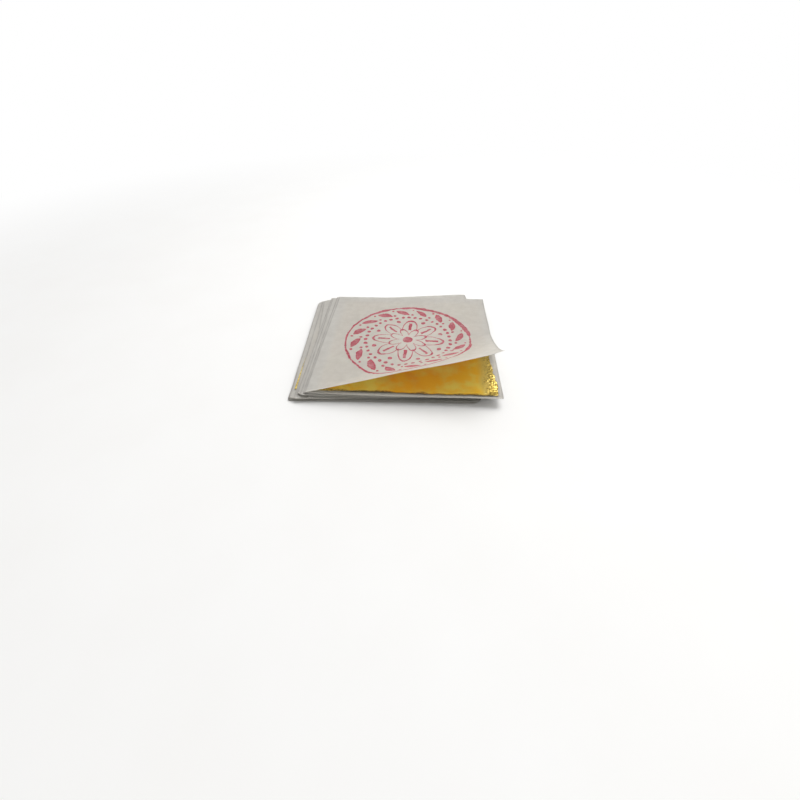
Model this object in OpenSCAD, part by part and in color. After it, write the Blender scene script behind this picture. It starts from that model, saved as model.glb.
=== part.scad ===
// A booklet of loose gold leaf: a square pile of folded paper packets, each holding
// one beaten leaf. Nothing binds the pile. The cover of the top packet has curled
// up at its front right corner.
// Millimetres. +Z is up, the open edges face -Y, the folds are at +Y, and the origin
// lies under the middle of the pile, on the face that it rests on.

/* [Paper] */
// Side of a folded packet, which is square
sheet_side = 40; // [30:1:60]
// Thickness of the paper
paper_t = 0.06; // [0.04:0.01:0.12]
// Air between two packets, which never lie quite flat
packet_air = 0.05; // [0.02:0.01:0.3]
// Gap between the round back of a fold and the cover that turns about it
fold_clearance = 0.02; // [0.01:0.01:0.1]

/* [Gold] */
// Thickness of a gold leaf, far thicker than the real one so that it is a solid
gold_t = 0.02; // [0.01:0.01:0.1]
// Gap between a gold leaf and the paper on each side of it
leaf_clearance = 0.01; // [0.01:0.01:0.1]
// Bare paper round a gold leaf that lies in the middle of its packet
gold_margin = 1.5; // [1:0.25:5]

/* [Lifted corner] */
// Angle at which the front edge of the top cover rises from the pile
curl_lift = 14.4; // [2:0.1:18]
// Part of the top cover that curls, as the angle it spans at the corner that stays down
curl_span = 30; // [27:1:40]

/* [Hidden] */
// A row for each packet, from the bottom: its shift to the right, its shift to the
// back and its turn in degrees
PILE = [
    [-1.6, -0.2, -2.0],
    [-1.8, 0.0, -1.6],
    [-2.1, 0.5, -0.3],
    [-2.0, 0.6, 0.2],
    [-0.9, 0.2, 0.2],
    [0.6, 1.35, 3.5],
    [0.6, 0.1, -2.4],
    [1.2, -0.3, -1.9],
    [2.1, -0.4, -3.0],
    [2.6, -0.7, -3.3],
];
// The same for each gold leaf, measured from the middle of its packet
GOLD = [
    [0.0, 0.0, 0.6],
    [-0.3, 0.2, -0.4],
    [0.2, 0.0, 0.3],
    [0.0, -0.4, -0.5],
    [-1.3, 0.7, -1.95],
    [0.3, 0.0, 0.2],
    [0.0, 0.3, 0.4],
    [-0.2, 0.0, -0.3],
    [0.4, -0.2, 0.2],
    [0.8, -0.6, 0.0],
];
packets = len(PILE);
leaf_gap = gold_t + 2 * leaf_clearance;
packet_t = 2 * paper_t + leaf_gap;
pitch = packet_t + packet_air;
front_y = -sheet_side / 2;
fold_r = packet_t / 2;
fold_y = sheet_side / 2 - fold_r;
cover_d = fold_y - fold_r - fold_clearance - front_y;
cover_z = paper_t + leaf_gap;
gold_side = sheet_side - 2 * gold_margin;
gold_z = paper_t + leaf_clearance;
curl_steps = 24;
// How the rise fades over curl_span: 1 is an even fade, more keeps it near the edge
curl_fade = 1.3;
curl_turn = curl_span / curl_steps;
fold_sides = 32;

function numbered(name, k) = str(name, k < 10 ? "_0" : "_", k);

// The curled cover is a cone with its tip at the front left corner, so each straight
// line through that corner stays straight and the paper is bent but not stretched.
// A line is known by its angle to the front edge on the flat paper.

// Share of the curl that lies beyond a line: all of it for the front edge
function curl_left(a) = max(0, 1 - a / curl_span);

// Angle at which a line rises: steepest on the front edge, and level at curl_span
function line_rise(a) = asin(sin(curl_lift) * pow(curl_left(a), curl_fade));

// How fast that angle falls, as a ratio of two angles
function rise_fall(a) =
    sin(curl_lift) * curl_fade * pow(curl_left(a), curl_fade - 1)
    / (curl_span * PI / 180) / cos(line_rise(a));

// How far a line's heading turns per degree of paper
function heading_rate(a) = sqrt(1 - pow(rise_fall(a), 2)) / cos(line_rise(a));

// Headings of the lines, from the level one back to the front edge
headings = [
    for (
        i = curl_steps, heading = curl_span;
        i >= 0;
        heading = heading - curl_turn * heading_rate((i - 0.5) * curl_turn), i = i - 1
    ) heading
];

// Direction of line i in space, counted from the front edge
function line_dir(i) =
    let (
        rise = line_rise(i * curl_turn),
        heading = headings[curl_steps - i]
    )
    [cos(rise) * cos(heading), cos(rise) * sin(heading), sin(rise)];

// Upward normal of the paper along line i
function line_normal(i) =
    let (
        before = line_dir(max(i - 1, 0)),
        after = line_dir(min(i + 1, curl_steps)),
        across = cross(before, after)
    )
    i == curl_steps ? [0, 0, 1] : across / norm(across);

// Where line i leaves the paper, on its right edge
function line_end(i) = sheet_side / cos(i * curl_turn) * line_dir(i);

// Shifts and turns what it holds by one row of PILE or GOLD
module laid(row) {
    translate([row[0], row[1], 0])
        rotate([0, 0, row[2]])
            children();
}

// Puts what it holds into packet k, whose own origin is in the middle of its underside
module in_packet(k) {
    translate([0, 0, (k - 1) * pitch])
        laid(PILE[k - 1])
            children();
}

// Lower half of a folded sheet, with the fold pressed to a round bead at its back
module base_leaf(k) {
    color([0.80, 0.78, 0.74])
        in_packet(k)
            union() {
                translate([-sheet_side / 2, front_y, 0])
                    cube([sheet_side, fold_y - front_y, paper_t]);
                translate([-sheet_side / 2, fold_y, fold_r])
                    rotate([0, 90, 0])
                        cylinder(r = fold_r, h = sheet_side, $fn = fold_sides);
            }
}

// Beaten gold leaf, lying loose between the two halves
module gold_leaf(k) {
    color([0.83, 0.62, 0.18])
        in_packet(k)
            laid(GOLD[k - 1])
                translate([-gold_side / 2, -gold_side / 2, gold_z])
                    cube([gold_side, gold_side, gold_t]);
}

// Upper half of a folded sheet, lying flat
module flat_cover() {
    cube([sheet_side, cover_d, paper_t]);
}

// Upper half of a folded sheet, curled up at its front right corner
module curled_cover() {
    ends = [for (i = [0 : curl_steps]) line_end(i)];
    flat_corners = [[sheet_side, cover_d, 0], [0, cover_d, 0]];
    under = concat([[0, 0, 0]], ends, flat_corners);
    over = concat(
        [[0, 0, paper_t]],
        [for (i = [0 : curl_steps]) ends[i] + paper_t * line_normal(i)],
        [for (corner = flat_corners) corner + [0, 0, paper_t]]
    );
    n = len(under);
    polyhedron(
        points = concat(under, over),
        faces = concat(
            [for (i = [1 : n - 2]) [0, i, i + 1]],
            [for (i = [1 : n - 2]) [n, n + i + 1, n + i]],
            [for (i = [0 : n - 1]) [i, n + i, (i + 1) % n]],
            [for (i = [0 : n - 1]) [n + i, n + (i + 1) % n, (i + 1) % n]]
        )
    );
}

// Upper half of a folded sheet, which turns about the fold
module cover_leaf(k) {
    color([0.86, 0.85, 0.81])
        in_packet(k)
            translate([-sheet_side / 2, front_y, cover_z])
                if (k == packets) curled_cover();
                else flat_cover();
}

for (k = [1 : packets]) {
    base_leaf(k);
    gold_leaf(k);
    cover_leaf(k);
}
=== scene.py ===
# %% [markdown]
# # A booklet of loose gold leaf
# Ten packets of thin paper lie in a loose square pile. Each packet is one sheet, folded
# once, with a beaten gold leaf inside. The cover of the top packet has curled up at a
# corner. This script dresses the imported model: it reads every size and place from the
# frame, builds real paper and foil round it, and leaves the frame where it is.

# %% Load the fixed frame
import math

import bpy
import numpy as np
from mathutils import Matrix, Vector


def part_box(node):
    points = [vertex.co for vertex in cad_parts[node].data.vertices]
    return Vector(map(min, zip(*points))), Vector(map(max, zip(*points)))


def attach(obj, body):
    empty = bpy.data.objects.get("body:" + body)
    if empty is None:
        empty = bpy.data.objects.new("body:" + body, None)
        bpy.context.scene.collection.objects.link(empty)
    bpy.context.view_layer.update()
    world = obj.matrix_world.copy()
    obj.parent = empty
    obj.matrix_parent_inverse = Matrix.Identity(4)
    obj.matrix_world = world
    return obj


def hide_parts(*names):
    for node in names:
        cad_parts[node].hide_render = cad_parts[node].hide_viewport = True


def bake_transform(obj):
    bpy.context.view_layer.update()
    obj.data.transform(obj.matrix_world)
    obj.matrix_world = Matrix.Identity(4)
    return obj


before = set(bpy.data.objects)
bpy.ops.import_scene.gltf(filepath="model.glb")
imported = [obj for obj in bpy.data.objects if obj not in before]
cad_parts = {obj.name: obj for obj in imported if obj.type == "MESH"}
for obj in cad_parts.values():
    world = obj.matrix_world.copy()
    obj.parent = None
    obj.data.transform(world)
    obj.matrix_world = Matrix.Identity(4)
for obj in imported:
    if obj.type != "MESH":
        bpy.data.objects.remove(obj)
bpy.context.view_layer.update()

# %% [markdown]
# ## Measuring the frame
# A flat sheet is known by its four corners, its thickness and its height. Seen from
# above, the corners are the points that lie furthest along the four diagonals, which
# holds for any sheet that is turned by only a few degrees.

# %% Sizes that the pieces share
MM = 0.001
DIAGONALS = np.array([[-1, -1], [1, -1], [-1, 1], [1, 1]])


def node_name(kind, packet):
    """The name of one packet's node, such as base_leaf_03."""
    return f"{kind}_{packet:02d}"


def node_points(name):
    """All vertices of a CAD node in the row frame, one row each."""
    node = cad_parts[name]
    flat = np.empty(3 * len(node.data.vertices))
    node.data.vertices.foreach_get("co", flat)
    world = np.array(node.matrix_world)
    return flat.reshape(-1, 3) @ world[:3, :3].T + world[:3, 3]


def node_corners(name):
    """Front left, front right, back left and back right corner, as x and y."""
    ground = node_points(name)[:, :2]
    return ground[np.argmax(ground @ DIAGONALS.T, axis=0)]


def height_range(name):
    """The lowest and the highest point of a node."""
    low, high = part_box(name)
    return low[2], high[2]


packets = range(1, 1 + sum(name.startswith("base_leaf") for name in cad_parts))
top_packet = packets[-1]
packet_low = {k: height_range(node_name("base_leaf", k))[0] for k in packets}
cover_low, cover_high = height_range(node_name("cover_leaf", 1))
paper = cover_high - cover_low
packet_height = cover_high - packet_low[1]
fold_radius = packet_height / 2
inner_radius = fold_radius - paper
front_left, front_right, _, _ = node_corners(node_name("base_leaf", 1))
side = np.linalg.norm(front_right - front_left)
flat_front_left, _, flat_back_left, _ = node_corners(node_name("cover_leaf", 1))
cover_depth = np.linalg.norm(flat_back_left - flat_front_left)
base_depth = side - fold_radius
print(f"{len(packets)} packets, side {side / MM:.2f} mm, paper {paper / MM:.3f} mm,",
      f"packet {packet_height / MM:.3f} mm, cover depth {cover_depth / MM:.2f} mm")

# %% [markdown]
# ## Noise on a lattice
# Paper cockles and foil crinkles are both slow random bumps. Random heights on the
# points of a square lattice, blended smoothly between the points, give such bumps at a
# size that is chosen in millimetres. One seeded table of heights serves every use.

# %% Value noise
SEED = 41
LATTICE_SIZE = 97
LATTICE_START = 200
SHIFT_RIGHT, SHIFT_BACK = 13.7, 7.3
rng = np.random.default_rng(SEED)
LATTICE = rng.random((LATTICE_SIZE, LATTICE_SIZE))


def value_noise(x, y, cell, shift):
    """Height 0 to 1 at each point: the lattice's heights, blended by smooth steps.

    x and y are metres, cell is the distance between lattice points, and shift picks
    another part of the lattice.
    """
    gx = x / cell + SHIFT_RIGHT * shift + LATTICE_START
    gy = y / cell + SHIFT_BACK * shift + LATTICE_START
    ix, iy = np.floor(gx).astype(int), np.floor(gy).astype(int)
    fx, fy = gx - ix, gy - iy
    fx, fy = fx * fx * (3 - 2 * fx), fy * fy * (3 - 2 * fy)
    n = len(LATTICE)
    ax, bx, ay, by = ix % n, (ix + 1) % n, iy % n, (iy + 1) % n
    front = LATTICE[ax, ay] * (1 - fx) + LATTICE[bx, ay] * fx
    back = LATTICE[ax, by] * (1 - fx) + LATTICE[bx, by] * fx
    return front * (1 - fy) + back * fy


def smooth_step(low, high, x):
    """0 below low, 1 above high, and an S-shaped rise between."""
    t = np.clip((x - low) / (high - low), 0, 1)
    return t * t * (3 - 2 * t)


# %% [markdown]
# ## How the pile swells
# Thin sheets never lie quite flat, so a loose pile is a little thicker than its paper,
# most at the open edges and least at the pressed folds. If every sheet had waves of
# its own, the sheets would cut through each other. Here the waves belong to the air
# between two packets instead: each gap swells by its own amount, never less than
# nothing, and a packet rides on all the gaps below it.

# %% Swelling of the gaps
SWELL = 0.016 * MM
SWELL_CELL = 13 * MM
CORNER_FLARE = 0.05 * MM
EDGE_FLARE = 0.09 * MM
EDGE_CELL = 9 * MM
EDGE_SHIFT = 20
FOLD_REGION = (3 * MM, 14 * MM)
flares = rng.random((len(packets), 2)) ** 2


def gap_swell(gap, x, y):
    """Extra air above packet number gap.

    It has slow waves, a flare at each front corner and an uneven one along the left edge.
    All of them fade to nothing towards the folds at the back.
    """
    waves = SWELL * 2 * value_noise(x, y, SWELL_CELL, gap) ** 2
    across = np.clip(0.5 + x / side, 0, 1)
    forward = np.clip(0.5 - y / side, 0, 1)
    left, right = flares[gap - 1]
    corner = CORNER_FLARE * (left * (1 - across) ** 2 + right * across**2) * forward**2
    edge = EDGE_FLARE * value_noise(y, 0 * y, EDGE_CELL, gap + EDGE_SHIFT) ** 3 * (1 - across) ** 6
    return (waves + corner + edge) * (1 - smooth_step(*FOLD_REGION, y))


def pile_rise(packet, x, y):
    """How far a packet lies above its CAD height, being the sum of the gaps below it."""
    return sum((gap_swell(gap, x, y) for gap in range(1, packet)), np.zeros_like(x))


middle = np.array([0.0])
print(f"the top packet rises {pile_rise(top_packet, middle, middle)[0] / MM:.2f} mm at its middle")

# %% [markdown]
# ## Sheets as grids
# A sheet is a grid of points on its underside and a grid on its upper side, closed by
# a wall all round. Real sheets are cut by hand, so the edges wander a little, and the
# wander dies out towards the middle of the sheet. Handling has also rounded some of
# the corners: the square at a corner is squeezed into a quarter of a disc. The radii
# are in millimetres, for each packet by number, and a sheet without any has sharp ones.

# %% Grids and closed sheets
CUT_WANDER = 0.09 * MM
CUT_CELL = 6 * MM
CUT_FADE = 4
SHARP_ANGLE = math.radians(35)
SHARP_CORNER = 0.25 * MM
WORN_CORNERS = {
    1: (0.3, 2.2, 2.0, 1.2),
    2: (0.4, 1.8, 1.6, 1.4),
    3: (0.3, 1.9, 1.9, 1.0),
    4: (0.5, 1.5, 2.3, 0.8),
    5: (0.4, 0.6, 1.4, 0.7),
    6: (0.5, 0.5, 1.6, 0.8),
    7: (0.3, 0.6, 0.5, 0.4),
}


def sheet_grid(depth, across_count, along_count):
    """Right and back coordinates of a grid over a sheet, from its front left corner."""
    return np.meshgrid(np.linspace(0, side, across_count), np.linspace(0, depth, along_count))


def hand_cut(u, v, number):
    """Moves the free edges in or out by a slow wave, fading towards the middle."""
    across, along = u / side, v / side
    left = value_noise(v, 0 * v, CUT_CELL, 3 * number) - 0.5
    right = value_noise(v, 0 * v, CUT_CELL, 3 * number + 1) - 0.5
    front = value_noise(u, 0 * u, CUT_CELL, 3 * number + 2) - 0.5
    to_right = CUT_WANDER * (left * (1 - across) ** CUT_FADE + right * across**CUT_FADE)
    return u + to_right, v + CUT_WANDER * front * (1 - along) ** CUT_FADE


def worn(u, v, packet):
    """Rounds the corners of a sheet: front left, front right, back left and back right.

    Within a square of the rounding's radius, each coordinate is shortened by the root of
    one less half the other's square, which turns the square into a quarter of a disc.
    """
    radii = [MM * r for r in WORN_CORNERS.get(packet, ())] or [SHARP_CORNER] * 4
    for radius, (to_right, to_back) in zip(radii, DIAGONALS):
        across = u if to_right < 0 else side - u
        along = v if to_back < 0 else side - v
        a = np.clip(1 - across / radius, 0, 1)
        b = np.clip(1 - along / radius, 0, 1)
        in_a, in_b = a * (1 - np.sqrt(1 - b * b / 2)), b * (1 - np.sqrt(1 - a * a / 2))
        u = u - to_right * radius * in_a
        v = v - to_back * radius * in_b
    return u, v


def in_pile(packet, u, v, height):
    """Puts sheet coordinates and a height above the packet's underside in the row frame."""
    origin, right_end, back_end, _ = node_corners(node_name("base_leaf", packet))
    right = (right_end - origin) / np.linalg.norm(right_end - origin)
    back = (back_end - origin) / np.linalg.norm(back_end - origin)
    ground = origin + u[..., None] * right + v[..., None] * back
    x, y = ground[..., 0], ground[..., 1]
    return np.stack([x, y, packet_low[packet] + height + pile_rise(packet, x, y)], axis=-1)


def grid_faces(rows, columns, first):
    """Four-sided faces of a grid of points that are numbered row by row from first."""
    corner = first + np.arange(rows - 1)[:, None] * columns + np.arange(columns - 1)
    corner = corner.reshape(-1)
    return np.stack([corner, corner + 1, corner + columns + 1, corner + columns], axis=1)


def border(rows, columns):
    """Numbers of a grid's outermost points, once round."""
    number = np.arange(rows * columns).reshape(rows, columns)
    return np.concatenate([number[0, :-1], number[:-1, -1], number[-1, :0:-1], number[:0:-1, 0]])


def closed_sheet(name, under, over, uv, materials, marks):
    """A closed mesh of two grids and the wall between them.

    Its upper faces take the first material, and its underside and wall the last.
    """
    rows, columns = under.shape[:2]
    count = rows * columns
    upper = grid_faces(rows, columns, count)
    lower = grid_faces(rows, columns, 0)[:, ::-1]
    ring = border(rows, columns)
    after = np.roll(ring, -1)
    wall = np.stack([ring, after, after + count, ring + count], axis=1)
    points = np.concatenate([under.reshape(-1, 3), over.reshape(-1, 3)])
    mesh = bpy.data.meshes.new(name)
    mesh.from_pydata(points, [], np.concatenate([upper, lower, wall]))
    mesh.uv_layers.new(name="sheet")
    corner_point = np.empty(len(mesh.loops), dtype=np.int32)
    mesh.loops.foreach_get("vertex_index", corner_point)
    both = np.concatenate([uv.reshape(-1, 2)] * 2)
    mesh.uv_layers["sheet"].data.foreach_set("uv", both[corner_point].ravel().astype(np.float32))
    for mark, values in marks.items():
        layer = mesh.attributes.new(mark, "FLOAT", "POINT")
        doubled = np.concatenate([np.broadcast_to(values, (rows, columns)).reshape(-1)] * 2)
        layer.data.foreach_set("value", doubled.astype(np.float32))
    for material in materials:
        mesh.materials.append(material)
    slots = np.full(len(mesh.polygons), len(materials) - 1, dtype=np.int32)
    slots[: len(upper)] = 0
    mesh.polygons.foreach_set("material_index", slots)
    mesh.shade_smooth()
    mesh.set_sharp_from_angle(angle=SHARP_ANGLE)
    piece = bpy.data.objects.new(name, mesh)
    bpy.context.scene.collection.objects.link(piece)
    return piece


# %% [markdown]
# ## Shader maths as expressions
# A material is easier to read as a formula than as a web of nodes. One small class
# wraps an output socket, so that `1 - mask` or `noise * 0.1` adds the Math nodes.

# %% One class for sockets
class Wire:
    """One output socket of a shader. Arithmetic on it adds Math nodes."""

    def __init__(self, tree, socket=None):
        self.tree = tree
        self.socket = socket

    def node(self, kind, settings=None, inputs=None, output=0):
        """Adds any node: its settings first, then its inputs as values or wires."""
        made = self.tree.nodes.new("ShaderNode" + kind)
        for name, value in (settings or {}).items():
            setattr(made, name, value)
        for name, value in (inputs or {}).items():
            if isinstance(value, Wire):
                self.tree.links.new(value.socket, made.inputs[name])
            else:
                made.inputs[name].default_value = value
        return Wire(self.tree, made.outputs[output])

    def maths(self, operation, *values):
        return self.node("Math", {"operation": operation}, dict(enumerate(values)))

    def __add__(self, other):
        return self.maths("ADD", self, other)

    __radd__ = __add__

    def __sub__(self, other):
        return self.maths("SUBTRACT", self, other)

    def __rsub__(self, other):
        return self.maths("SUBTRACT", other, self)

    def __mul__(self, other):
        return self.maths("MULTIPLY", self, other)

    __rmul__ = __mul__

    def __truediv__(self, other):
        return self.maths("DIVIDE", self, other)

    def __abs__(self):
        return self.maths("ABSOLUTE", self)

    def most(self, other):
        return self.maths("MAXIMUM", self, other)

    def least(self, other):
        return self.maths("MINIMUM", self, other)

    def cosine(self):
        return self.maths("COSINE", self)

    def step(self, low, high):
        """An S-shaped rise from 0 at low to 1 at high, or a fall where low is larger."""
        if low > high:
            return 1 - self.step(high, low)
        names = {"Value": self, "From Min": low, "From Max": high}
        return self.node("MapRange", {"interpolation_type": "SMOOTHSTEP"}, names)

    def noise(self, vector, scale, detail=2.0, roughness=0.5):
        inputs = {"Vector": vector, "Scale": scale, "Detail": detail, "Roughness": roughness}
        return self.node("TexNoise", None, inputs)

    def parts(self):
        """The x, y and z of a vector as three wires."""
        made = self.node("SeparateXYZ", None, {"Vector": self}).socket.node
        return [Wire(self.tree, output) for output in made.outputs]

    def vector(self, x, y, z=0.0):
        return self.node("CombineXYZ", None, {"X": x, "Y": y, "Z": z})

    def mixed(self, factor, first, second):
        """Blends two colours: the first where factor is 0, the second where it is 1."""
        return self.node("Mix", {"data_type": "RGBA"}, {0: factor, 6: first, 7: second}, output=2)


def from_screen(red, green, blue):
    """A colour as a screen shows it, from 0 to 255, made linear for a shader."""
    shares = np.array([red, green, blue]) / 255
    linear = np.where(shares <= 0.04045, shares / 12.92, ((shares + 0.055) / 1.055) ** 2.4)
    return (*linear.tolist(), 1.0)


def new_material(name):
    """A material with nodes, its Principled shader and a wire to start from."""
    material = bpy.data.materials.new(name)
    material.use_nodes = True
    tree = material.node_tree
    return material, tree.nodes["Principled BSDF"], Wire(tree)


def join(wire, shader, socket):
    """Links a wire to one input of a shader."""
    wire.tree.links.new(wire.socket, shader.inputs[socket])


# %% [markdown]
# ## The stamp
# A red rubber stamp marks each cover. The pattern is a plain ornament: a ring, a wreath
# of slanted leaves and dots, a string of beads, a ring of pearls, and a rosette of
# eight petals round a smaller one. It is worked out from the distance and the angle to
# the stamp's middle, in millimetres, so it bends with the paper. Each shape is written
# as its room: how far inside its outline a point lies, and less than nothing outside.
# The largest room of all shapes is the room of the whole pattern. A rubber stamp prints
# unevenly, so noise is added to the room before it is turned into ink, and the lines
# wander, thicken and break. The outer ring is widest at the right and the back, where
# the stamp was pressed hardest.

# %% Ornament from distance and angle
STAMP_MIDDLE = (20.15, 19.6)
STAMP_TURN = math.radians(-4)
OUTER_RING, OUTER_WIDTH = 14.75, 0.44
BEAD_RING, BEADS, BEAD_RADIUS = 10.05, 40, 0.4
WREATH_RADIUS, WREATH_LEAVES = 12.45, 16
LEAF_HALF_LENGTH, LEAF_HALF_WIDTH, LEAF_SLANT = 2.05, 0.78, math.radians(34)
PETALS, PETAL_TIP, PETAL_DIP, PETAL_LINE = 8, 8.3, 4.2, 0.5
WREATH_DOTS = ((-1.1, 0.34), (1.2, 0.28))
INNER_TIP, INNER_DIP, INNER_LINE = 4.6, 2.0, 0.46
VEIN_MIDDLE, VEIN_HALF_LENGTH, VEIN_HALF_WIDTH = 5.7, 1.5, 0.3
HUB_RADIUS = 1.15
PEARL_RING, PEARL_RADIUS = 8.2, 0.5
WANDER, ROUGH, UNEVEN = 0.8, 0.5, 0.35
PRESS_RIGHT, PRESS_BACK = 0.5, 0.85
PRESS_FROM, PRESS_TO = -0.2 * OUTER_RING, 0.8 * OUTER_RING
PRESSED_WIDER = 0.8
INK_EDGE = 0.1


def ring_room(distance, radius, width):
    """Room in a ring: half its width less the distance to its middle line."""
    return width / 2 - abs(distance - radius)


def repeat_angle(angle, count, shift=0.0):
    """The angle within one of count equal parts of a turn, from -0.5 to 0.5 of a part."""
    share = angle * (count / math.tau) + (count + shift)
    return share.maths("FRACT", share) - 0.5


def leaf_room(across, up, slant):
    """Room in a pointed leaf: its half width falls with the square of the way along it."""
    along = across * math.cos(slant) + up * math.sin(slant)
    aside = up * math.cos(slant) - across * math.sin(slant)
    share = along / LEAF_HALF_LENGTH
    return (1 - share * share) * LEAF_HALF_WIDTH - abs(aside)


def dot_room(across, up, radius):
    """Room in a round dot about the origin: its radius less the distance."""
    squares = across * across + up * up
    return radius - squares.maths("SQRT", squares)


def stamp_mask(start, x, y):
    """How much ink lies at a point of the cover, from 0 to 1."""
    place = start.vector(x, y)
    wander_x = (start.noise(place, 0.4, 3.0) - 0.5) * WANDER
    wander_y = (start.noise(start.vector(y, x), 0.4, 3.0) - 0.5) * WANDER
    dx = x - STAMP_MIDDLE[0] + wander_x
    dy = y - STAMP_MIDDLE[1] + wander_y
    px = dx * math.cos(STAMP_TURN) + dy * math.sin(STAMP_TURN)
    py = dy * math.cos(STAMP_TURN) - dx * math.sin(STAMP_TURN)
    squares = px * px + py * py
    distance = squares.maths("SQRT", squares)
    angle = px.maths("ARCTAN2", py, px)
    pressed = (px * PRESS_RIGHT + py * PRESS_BACK).step(PRESS_FROM, PRESS_TO)
    heavy = pressed * start.noise(start.vector(y, x, 5.0), 0.3, 1.0).step(0.35, 0.6)
    room = ring_room(distance, OUTER_RING, heavy * PRESSED_WIDER + OUTER_WIDTH)
    bead = repeat_angle(angle, BEADS) * (math.tau / BEADS * BEAD_RING)
    room = room.most(dot_room(bead, distance - BEAD_RING, BEAD_RADIUS))
    arc = math.tau / WREATH_LEAVES * WREATH_RADIUS
    up = distance - WREATH_RADIUS
    room = room.most(leaf_room(repeat_angle(angle, WREATH_LEAVES) * arc, up, LEAF_SLANT))
    between = repeat_angle(angle, WREATH_LEAVES, 0.5) * arc
    for height, radius in WREATH_DOTS:
        room = room.most(dot_room(between, up - height, radius))
    wave = abs((angle * (PETALS / 2)).cosine())
    petal = wave * (PETAL_TIP - PETAL_DIP) + PETAL_DIP
    room = room.most(ring_room(distance, petal, PETAL_LINE))
    turned = abs((angle * (PETALS / 2) + math.pi / 2).cosine())
    room = room.most(ring_room(distance, turned * (INNER_TIP - INNER_DIP) + INNER_DIP, INNER_LINE))
    vein = abs(repeat_angle(angle, PETALS, 0.5) * distance) * (math.tau / PETALS)
    room = room.most((VEIN_HALF_WIDTH - vein).least(VEIN_HALF_LENGTH - abs(distance - VEIN_MIDDLE)))
    room = room.most(HUB_RADIUS - distance)
    pearl = repeat_angle(angle, PETALS) * (math.tau / PETALS * PEARL_RING)
    room = room.most(dot_room(pearl, distance - PEARL_RING, PEARL_RADIUS))
    rough = (start.noise(place, 1.6, 4.0, 0.65) - 0.5) * ROUGH
    uneven = (start.noise(place, 0.16, 2.0) - 0.5) * UNEVEN
    inked = (room + rough + uneven).step(-INK_EDGE, INK_EDGE)
    squeezed = room.step(0.32, 0.05) * 0.2 + 0.8
    patchy = start.noise(place, 0.7, 4.0, 0.65).step(0.3, 0.55) * 0.3 + 0.7
    return inked * squeezed * patchy


# %% [markdown]
# ## Thin paper
# The packets are of thin unglazed tissue. Against the light it is cloudy, because the
# fibres settle unevenly, and close to it fine fibres cross in all directions. The
# clouds are slow noise. The fibres are noise stretched along each edge of the sheet.
# Both follow the sheet's own coordinates, and a number stored on each sheet moves
# them, so that no two sheets match. Such paper lets part of the light through, which
# is why the gold under the lifted corner isn't in the dark: a Translucent shader is
# mixed in for that. The left and right edges are greyer, in patches: painted shade
# that stands for the thin shadow along the edge of each sheet.

# %% Paper material
PAPER_LIGHT = from_screen(238, 236, 231)
PAPER_DARK = from_screen(225, 222, 216)
PAPER_EDGE_SHADE = from_screen(166, 160, 155)
EDGE_SHADE_FADES_AT, EDGE_SHADE_FULL_AT = 0.45, 0.1
EDGE_SHADE_STRENGTH = 0.65
SHEET_SHIFT = 9.7
INK = from_screen(200, 36, 78)
INK_THIN = from_screen(216, 84, 112)
LIGHT_THROUGH = 0.5
FIBRE_RELIEF = 0.012 * MM
STAMPED, SHOWS_THROUGH = 0.95, 0.12


def paper_material(name, ink_strength):
    """Tissue with clouds and fibres, and the stamp printed on it at a strength."""
    material, shader, start = new_material(name)
    plane = start.node("UVMap", {"uv_map": "sheet"})
    number = start.node("Attribute", {"attribute_name": "number"}, None, output=2)
    x, y = (share * (side / MM) for share in plane.parts()[:2])
    place = start.vector(x, y, number * SHEET_SHIFT)
    clouds = start.noise(place, 0.55, 4.0, 0.6)
    slow = start.noise(place, 0.07, 1.0)
    along = start.noise(start.vector(x * 0.5, y * 5.0, number), 1.6, 3.0, 0.7)
    aside = start.noise(start.vector(x * 5.0, y * 0.5, number + 3), 1.6, 3.0, 0.7)
    tone = clouds * 0.45 + slow * 0.3 + along * 0.15 + aside * 0.15
    colour = start.mixed(tone.step(0.32, 0.72), PAPER_DARK, PAPER_LIGHT)
    # Painted shade: the left and right edges of each sheet are greyed in patches, standing for the
    # thin shadow along each edge.
    to_side = x.least(side / MM - x)
    edge_shade = to_side.step(EDGE_SHADE_FADES_AT, EDGE_SHADE_FULL_AT) * (start.noise(place, 0.35, 3.0) * EDGE_SHADE_STRENGTH)
    colour = start.mixed(edge_shade, colour, PAPER_EDGE_SHADE)
    if ink_strength:
        ink = stamp_mask(start, x, y) * ink_strength
        ink_colour = start.mixed(start.noise(place, 0.9, 3.0).step(0.35, 0.65), INK, INK_THIN)
        colour = start.mixed(ink, colour, ink_colour)
    join(colour, shader, "Base Color")
    join(0.78 + clouds * 0.14, shader, "Roughness")
    relief = start.noise(place, 3.2, 4.0, 0.65) * 0.6 + along * 0.5 + aside * 0.5
    bump = start.node("Bump", None, {"Strength": 0.35, "Distance": FIBRE_RELIEF, "Height": relief})
    join(bump, shader, "Normal")
    shader.inputs["Specular IOR Level"].default_value = 0.25
    through = start.node("BsdfTranslucent", None, {"Color": colour})
    front = Wire(start.tree, shader.outputs[0])
    both = start.node("MixShader", None, {0: LIGHT_THROUGH, 1: front, 2: through})
    output = start.tree.nodes["Material Output"]
    start.tree.links.new(both.socket, output.inputs["Surface"])
    return material


plain_paper = paper_material("tissue paper", 0.0)
stamped_paper = paper_material("stamped tissue paper", STAMPED)
stamp_back = paper_material("tissue paper behind the stamp", SHOWS_THROUGH)
print("paper:", plain_paper.name, "stamp radius", OUTER_RING, "mm")

# %% [markdown]
# ## Lower halves of the packets
# The lower half of a folded sheet reaches from the open front edge to the fold. It
# lies on the swelling of the gaps below it, and its thickness stays that of the CAD.

# %% Lower halves
SHEET_COUNT = 84


def sheet_map(u, v):
    """The sheet's own coordinates as shares of its side, for the materials."""
    return np.stack([u, v], axis=-1) / side


def cut_sheet(u, v, packet, seed):
    """Rounds the corners of a sheet and lets its free edges wander."""
    return hand_cut(*worn(u, v, packet), seed)


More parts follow.
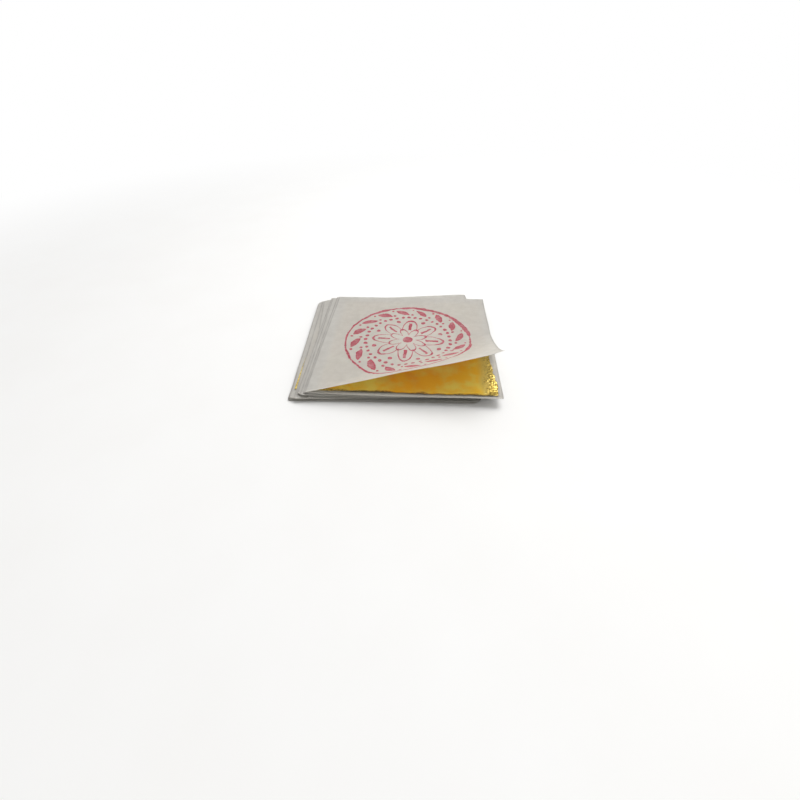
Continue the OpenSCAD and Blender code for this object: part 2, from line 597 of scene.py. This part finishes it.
for k in packets:
    name = node_name("base_leaf", k)
    u, v = sheet_grid(base_depth, SHEET_COUNT, SHEET_COUNT)
    under = in_pile(k, *cut_sheet(u, v, k, k), np.zeros_like(u))
    piece = closed_sheet(f"lower_half_{k:02d}", under, under + [0, 0, paper], sheet_map(u, v),
                         [plain_paper], {"number": k})
    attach(piece, name)
    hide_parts(name)
print("lower halves:", len(packets), "of", SHEET_COUNT**2, "points a side")

# %% [markdown]
# ## The curl of the top cover
# Paper bends but doesn't stretch, so a curled corner is a piece of a cone. Its tip is
# the corner that stays down, at the front left, and every straight line through that
# corner stays straight. A line rises most on the front edge, and not at all past a
# certain angle. Where neighbouring lines rise, they also crowd together seen from above,
# and that is worked out by adding up small turns from the flat part back to the edge.

# %% Cone of the curl
CURL_SPAN = math.radians(30)
CURL_FADE = 1.3
CURL_LINES = 400
TINY = 1e-9
cover_top = height_range(node_name("cover_leaf", top_packet))[1]
tip_height = cover_top - (packet_low[top_packet] + packet_height)
curl_lift = math.asin(tip_height / side)
line_angle = np.linspace(0, CURL_SPAN, CURL_LINES)
line_rise = np.arcsin(math.sin(curl_lift) * (1 - line_angle / CURL_SPAN) ** CURL_FADE)
turn_rate = np.sqrt(1 - np.gradient(line_rise, line_angle) ** 2) / np.cos(line_rise)
small_turns = (turn_rate[1:] + turn_rate[:-1]) / 2 * np.diff(line_angle)
line_heading = CURL_SPAN - np.append(np.cumsum(small_turns[::-1])[::-1], 0.0)
print(f"front edge rises at {math.degrees(curl_lift):.1f} degrees, tip {tip_height / MM:.1f} mm up")


def curled(u, v):
    """Right, back and up coordinates of a point of the flat cover once it has curled."""
    reach = np.hypot(u, v)
    angle = np.arctan2(v, np.maximum(u, TINY))
    rise = np.where(angle < CURL_SPAN, np.interp(angle, line_angle, line_rise), 0)
    heading = np.where(angle < CURL_SPAN, np.interp(angle, line_angle, line_heading), angle)
    level = reach * np.cos(rise)
    return level * np.cos(heading), level * np.sin(heading), reach * np.sin(rise)


def grid_normals(points):
    """Unit normals of a grid, from the cross product of its two directions."""
    across = np.gradient(points, axis=1)
    along = np.gradient(points, axis=0)
    normal = np.cross(across, along)
    return normal / np.linalg.norm(normal, axis=-1, keepdims=True)


# %% [markdown]
# ## Upper halves and folds
# The upper half carries the stamp on its upper side. On its underside the ink only
# shows through faintly, as it does on thin paper. At the back the sheet turns over in
# a tight half circle, down to the lower half. Upper half and fold are one piece here.
# The top one is curled, with a slight cockle of its own where nothing presses on it.

# %% Upper halves
COCKLE = 0.16 * MM
COCKLE_CELL = 9 * MM
COCKLE_SHIFT = 5
LIES_BELOW, FREE_ABOVE = 0.2 * MM, 3 * MM
SAG = 0.4 * MM
SAG_START, SAG_FULL, SAG_DEPTH = 18 * MM, 32 * MM, 9 * MM
TIP_REACH, TIP_STIFFNESS = 2.5 * MM, 0.6
CURL_COUNT = 150
FOLD_STEPS = 12


def fold_rows(packet, radius, u_row):
    """A half circle at the back of a packet, from its upper to its lower half."""
    turn = np.linspace(math.pi / 2, -math.pi / 2, FOLD_STEPS)
    u, v = np.meshgrid(u_row, base_depth + radius * np.cos(turn))
    height = np.repeat(fold_radius + radius * np.sin(turn)[:, None], len(u_row), axis=1)
    return in_pile(packet, *cut_sheet(u, v, packet, packet), height)


def lift(packet, u, v):
    """The underside of the curled cover, with a slow cockle along its normals.

    The free front edge sags a little under its own weight, less so at the stiff tip.
    """
    right, back, up = curled(*cut_sheet(u, v, packet, packet))
    under = in_pile(packet, right, back, packet_height - paper + up)
    free = smooth_step(LIES_BELOW, FREE_ABOVE, up)
    cockle = COCKLE * (value_noise(u, v, COCKLE_CELL, COCKLE_SHIFT) - 0.5) * free
    tip_held = 1 - TIP_STIFFNESS * smooth_step(side - TIP_REACH, side, u)
    at_front = 1 - smooth_step(0, SAG_DEPTH, v)
    sag = SAG * smooth_step(SAG_START, SAG_FULL, u) * at_front * tip_held
    return under + grid_normals(under) * (cockle - sag)[..., None]


for k in packets:
    lower, upper = node_name("base_leaf", k), node_name("cover_leaf", k)
    count = CURL_COUNT if k == top_packet else SHEET_COUNT
    u, v = sheet_grid(cover_depth, count, count)
    if k == top_packet:
        under = lift(k, u, v)
        over = under + grid_normals(under) * paper
    else:
        under = in_pile(k, *cut_sheet(u, v, k, k), np.full_like(u, packet_height - paper))
        over = under + [0, 0, paper]
    fold_u, fold_v = np.meshgrid(u[0], np.linspace(base_depth, side, FOLD_STEPS))
    under = np.concatenate([under, fold_rows(k, inner_radius, u[0])])
    over = np.concatenate([over, fold_rows(k, fold_radius, u[0])])
    uv = np.concatenate([sheet_map(u, v), sheet_map(fold_u, fold_v)])
    piece = closed_sheet(f"upper_half_{k:02d}", under, over, uv,
                         [stamped_paper, stamp_back], {"number": k + 0.5})
    crease = in_pile(k, np.array(side / 2), np.array(base_depth), 0.0)
    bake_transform(piece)
    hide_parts(upper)
print("upper halves:", len(packets), "with folds of radius", round(fold_radius / MM, 3), "mm")

# %% [markdown]
# ## Beaten gold
# Gold leaf is so thin that it takes every unevenness under it, and it crumples where
# it isn't pressed. Inside the pile it is kept flat. Under the lifted corner of the top
# packet it is free, and along its right edge a band of small sharp crinkles catches
# the light. Those crinkles are real relief in the mesh. They are ridges: noise folded
# at its middle height, so that slopes meet in sharp lines. Every leaf has a crumpled
# rim, and the top one was cut askew: its front right corner reaches a little forward.

# %% Gold leaves
LEAF = 0.008 * MM
LEAF_COUNT = 64
CRINKLE_BAND = 5.0 * MM
CRINKLE_AT_BACK = 0.12
FRONT_SHARE = 0.55
BAND_WANDER, BAND_CELL, BAND_SHIFT = 0.05, 3 * MM, 9
RAGGED = 0.35 * MM
TORN_RIGHT_CELL, TORN_FRONT_CELL = 1.1 * MM, 1.7 * MM
TORN_FADE = 20
TOP_LEAF_FORWARD = 0.45 * MM
TOP_LEAF_NARROWER = 0.6 * MM
NARROWER_FROM = 0.35
LIP = 0.1 * MM
LIP_SHARE = 0.012
CRUMPLED_RIM = 1.0 * MM
RIM_FULL, RIM_ENDS = 0.4 * CRUMPLED_RIM, 1.1 * CRUMPLED_RIM
RIM_CELL, RIM_SHIFT = 1.8 * MM, 50
PRESSED_BELOW, LOOSE_ABOVE = 0.3 * MM, 2.5 * MM
CRINKLES = ((1.5 * MM, 0.06 * MM), (0.62 * MM, 0.11 * MM), (0.33 * MM, 0.09 * MM))
CRINKLE_SHIFT = 20
SOFT_WAVES = ((7 * MM, 0.10 * MM), (2.6 * MM, 0.02 * MM))
SOFT_SHIFT = 31


def ridges(x, y, sizes, shift):
    """Sum of folded noises: each pair in sizes is a cell and a height."""
    total = np.zeros_like(x)
    for step, (cell, height) in enumerate(sizes):
        noise = value_noise(x, y, cell, shift + step)
        total = total + height * (1 - abs(2 * noise - 1))
    return total


def leaf_grid(name, s_row, t_row):
    """Points of a gold leaf seen from above, blended between its four corners.

    Its right and front edges are torn: noise takes a little off them. The top leaf was
    cut a little askew, with its front right corner drawn out.
    """
    s, t = np.meshgrid(s_row, t_row)
    seed = sum(map(ord, name))
    a, b, c, d = node_corners(name)
    width = np.linalg.norm(b - a)
    right_noise = value_noise(t * width, 0 * t, TORN_RIGHT_CELL, seed)
    front_noise = value_noise(s * width, 0 * s, TORN_FRONT_CELL, seed + 1)
    torn_right = RAGGED / width * right_noise**2
    torn_front = 0.5 * RAGGED / width * front_noise**2
    if name == node_name("gold_leaf", top_packet):
        torn_right = torn_right + TOP_LEAF_NARROWER / width * smooth_step(0, NARROWER_FROM, t)
        torn_front = torn_front - TOP_LEAF_FORWARD / width * s
    across = (s - torn_right * s**TORN_FADE)[..., None]
    along = (t + torn_front * (1 - t) ** TORN_FADE)[..., None]
    front_edge = a * (1 - across) + b * across
    back_edge = c * (1 - across) + d * across
    return s, t, front_edge * (1 - along) + back_edge * along


def finer_towards(end, coarse, fine, share):
    """Numbers from 0 to 1 with most of them in the last share before one end."""
    rough = np.linspace(0, 1 - share, coarse, endpoint=False)
    dense = np.linspace(1 - share, 1, fine)
    row = np.concatenate([rough, dense])
    return row if end == 1 else 1 - row[::-1]


def leaf_surface(packet):
    """Underside of a gold leaf, its map, and how much each point crinkles."""
    name = node_name("gold_leaf", packet)
    s_row = t_row = np.linspace(0, 1, LEAF_COUNT)
    if packet == top_packet:
        s_row = finer_towards(1, coarse=70, fine=130, share=0.17)
        t_row = finer_towards(0, coarse=60, fine=160, share=0.5)
    s, t, ground = leaf_grid(name, s_row, t_row)
    x, y = ground[..., 0], ground[..., 1]
    low, high = height_range(name)
    height = (low + high) / 2 + pile_rise(packet, x, y)
    to_rim = side * np.minimum(np.minimum(s, 1 - s), np.minimum(t, 1 - t))
    to_rim = to_rim + CRUMPLED_RIM * value_noise(x, y, RIM_CELL, RIM_SHIFT + packet)
    crinkle = 1 - smooth_step(RIM_FULL, RIM_ENDS, to_rim)
    if packet == top_packet:
        origin, right_end, back_end, _ = node_corners(node_name("base_leaf", packet))
        from_corner = ground - origin
        u = from_corner @ (right_end - origin) / side
        v = from_corner @ (back_end - origin) / side
        free = smooth_step(PRESSED_BELOW, LOOSE_ABOVE, curled(u, v)[2])
        wander = BAND_WANDER * (value_noise(x, y, BAND_CELL, BAND_SHIFT) - 0.5)
        edge = smooth_step(1 - CRINKLE_BAND / side, 1, s + wander)
        front = smooth_step(FRONT_SHARE, 0.0, t)
        band = edge * (CRINKLE_AT_BACK + (1 - CRINKLE_AT_BACK) * front)
        crinkle = np.maximum(crinkle, band)
        sharp = crinkle * ridges(x, y, CRINKLES, CRINKLE_SHIFT)
        soft = ridges(x, y, SOFT_WAVES, SOFT_SHIFT)
        height = height + free * (sharp + soft + smooth_step(LIP_SHARE, 0.0, t) * LIP)
    surface = np.stack([x, y, height], axis=-1)
    return surface, np.stack([s, t], axis=-1), crinkle


# %% [markdown]
# ## The look of gold leaf
# Beaten gold is full metal, but not a mirror: it is satin with soft blotches, warmer
# and more orange where it is thick, greener where it is thin. Fine creases run through
# it. Where it is crinkled the metal is smoother, so each small facet catches a light of
# its own. There its colour is darker, painted shade for the foil's self-shadowing, with
# more painted shade in dark pits between the facets.

# %% Gold material
GOLD_GREEN = from_screen(246, 226, 116)
GOLD_ORANGE = from_screen(249, 201, 68)
GOLD_CRUMPLED_SHADE = from_screen(224, 200, 114)
GOLD_PIT_SHADE = from_screen(128, 102, 34)
CREASE_RELIEF = 0.03 * MM


def gold_material():
    """Satin metal with blotches, fine creases, and painted shade on its crumpled, pitted edge."""
    material, shader, start = new_material("beaten gold")
    place = start.node("TexCoord", None, None, output=3)
    crinkle = start.node("Attribute", {"attribute_name": "crinkle"}, None, output=2)
    blotch = start.noise(place, 160.0, 3.0, 0.55)
    patch = start.noise(place, 420.0, 2.0)
    colour = start.mixed((blotch * 0.75 + patch * 0.25).step(0.4, 0.62), GOLD_GREEN, GOLD_ORANGE)
    # Painted shade: crinkled foil is darkened for its self-shadowing, and its pits are darker still.
    colour = start.mixed(crinkle.step(0.02, 0.3) * 0.9, colour, GOLD_CRUMPLED_SHADE)
    dark = start.noise(place, 2400.0, 2.0) * 0.6 + start.noise(place, 260.0, 1.0) * 0.4
    pit_shade = dark.step(0.56, 0.44) * crinkle.step(0.15, 0.6)
    colour = start.mixed(pit_shade * 0.7, colour, GOLD_PIT_SHADE)
    join(colour, shader, "Base Color")
    join(0.36 + patch * 0.12 - crinkle * 0.12, shader, "Roughness")
    shader.inputs["Metallic"].default_value = 1.0
    grain = start.noise(place, 2600.0, 3.0, 0.6)
    folds = abs(start.noise(place, 900.0, 2.0) - 0.5).step(0.06, 0.0)
    relief = grain * 0.5 + folds * (0.25 + crinkle)
    bump = start.node("Bump", None, {"Strength": 0.5, "Distance": CREASE_RELIEF, "Height": relief})
    join(bump, shader, "Normal")
    return material


beaten_gold = gold_material()
for k in packets:
    name = node_name("gold_leaf", k)
    under, uv, crinkle = leaf_surface(k)
    piece = closed_sheet(f"beaten_leaf_{k:02d}", under, under + [0, 0, LEAF], uv,
                         [beaten_gold], {"crinkle": crinkle})
    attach(piece, name)
    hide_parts(name)
print("gold leaves:", len(packets), f"of {LEAF / MM:.3f} mm")

# %% [markdown]
# ## Floor and light
# The pile lies on a plain pale floor. The world is a soft light that grows stronger
# towards the back, so the front edges of the packets stay in the shade. A lamp stands
# high, a little behind and to the right, and a weak one fills in from the right. What
# the camera sees of the world, straight or in a mirror, is plain white.

# %% Floor
FLOOR_SIZE = 6.0
NEAR_FLOOR, FAR_FLOOR = 0.085, 0.24
FLOOR_DARK = from_screen(247, 246, 244)
FLOOR_LIGHT = from_screen(251, 251, 250)


def looked_at(start):
    """1 for what the camera sees, straight or in gold or through glass, and else 0.

    Light that is scattered while it passes through paper isn't a view of anything.
    """
    camera_ray, diffuse, glossy, through = (
        start.node("LightPath", None, None, output=kind) for kind in (0, 2, 3, 6))
    return camera_ray.most(glossy).most(through - diffuse)


def floor_material():
    """Pale matt card near the pile, which fades to an even white far from it."""
    material, shader, start = new_material("pale card")
    place = start.node("TexCoord", None, None, output=3)
    mottle = start.noise(place, 60.0, 3.0)
    card = start.mixed(mottle, FLOOR_DARK, FLOOR_LIGHT)
    join(card, shader, "Base Color")
    shader.inputs["Roughness"].default_value = 0.9
    shader.inputs["Specular IOR Level"].default_value = 0.1
    away = place.node("VectorMath", {"operation": "LENGTH"}, {0: place}, output=1)
    white = start.node("Emission", None, {"Strength": 1.0})
    share = away.step(NEAR_FLOOR, FAR_FLOOR) * looked_at(start)
    front = Wire(start.tree, shader.outputs[0])
    both = start.node("MixShader", None, {0: share, 1: front, 2: white})
    output = start.tree.nodes["Material Output"]
    start.tree.links.new(both.socket, output.inputs["Surface"])
    return material


half = FLOOR_SIZE / 2
floor_mesh = bpy.data.meshes.new("floor")
floor_mesh.from_pydata([(-half, -half, 0), (half, -half, 0), (half, half, 0), (-half, half, 0)],
                       [], [(0, 1, 2, 3)])
floor_mesh.materials.append(floor_material())
floor = bpy.data.objects.new("floor", floor_mesh)
bpy.context.scene.collection.objects.link(floor)

# %% World and lamps
WORLD_LIGHT = 0.52
BACK_GAIN = 0.38
SEEN_WHITE = 1.0


def area_lamp(name, place, size, watts):
    """Adds a square lamp at a place, aimed at the middle of the pile."""
    data = bpy.data.lights.new(name, "AREA")
    data.size = size
    data.energy = watts
    lamp = bpy.data.objects.new(name, data)
    bpy.context.scene.collection.objects.link(lamp)
    aim = -Vector(place)
    turn = aim.to_track_quat("-Z", "Y").to_matrix().to_4x4()
    lamp.matrix_world = Matrix.Translation(place) @ turn


world = bpy.data.worlds.new("light tent")
bpy.context.scene.world = world
world.use_nodes = True
background = world.node_tree.nodes["Background"]
background.inputs["Color"].default_value = (1, 1, 1, 1)
sky = Wire(world.node_tree)
towards_back = sky.node("TexCoord", None, None, output=0).parts()[1]
light = towards_back * BACK_GAIN + WORLD_LIGHT
seen = looked_at(sky)
join(seen * SEEN_WHITE + (1 - seen) * light, background, "Strength")
area_lamp("high softbox", (0.12, 0.10, 0.36), 0.25, 1.0)
area_lamp("right fill", (0.45, -0.15, 0.3), 0.3, 0.22)

# %% [markdown]
# ## Camera
# The photograph was taken from close by with a wide lens, which is why the back edge
# of the pile looks so much shorter than the front. The camera stands in front of the
# pile and looks down at it. Its place, tilt and lens were found by matching the edges
# of the sheets, with a side of 40 mm taken for granted.

# %% Camera
PICTURE_WIDTH = 800
FOCAL_PIXELS = 367.7
CAMERA_PLACE = (1.47 * MM, -74.1 * MM, 52.7 * MM)
LOOK_DOWN = math.radians(43.98)
LOOK_LEFT = math.radians(0.65)
ROLL = math.radians(-0.98)

camera_data = bpy.data.cameras.new("camera")
camera_data.sensor_width = 36
camera_data.lens = camera_data.sensor_width * FOCAL_PIXELS / PICTURE_WIDTH
camera_data.clip_start = 0.005
camera_data.clip_end = 20
camera = bpy.data.objects.new("camera", camera_data)
bpy.context.scene.collection.objects.link(camera)
bpy.context.scene.camera = camera
level_turn = Matrix.Rotation(LOOK_LEFT, 4, "Z")
tilt_turn = Matrix.Rotation(math.pi / 2 - LOOK_DOWN, 4, "X")
roll_turn = Matrix.Rotation(ROLL, 4, "Z")
camera.matrix_world = Matrix.Translation(CAMERA_PLACE) @ level_turn @ tilt_turn @ roll_turn
bpy.context.scene.view_settings.view_transform = "Standard"
print(f"lens {camera_data.lens:.1f} mm")
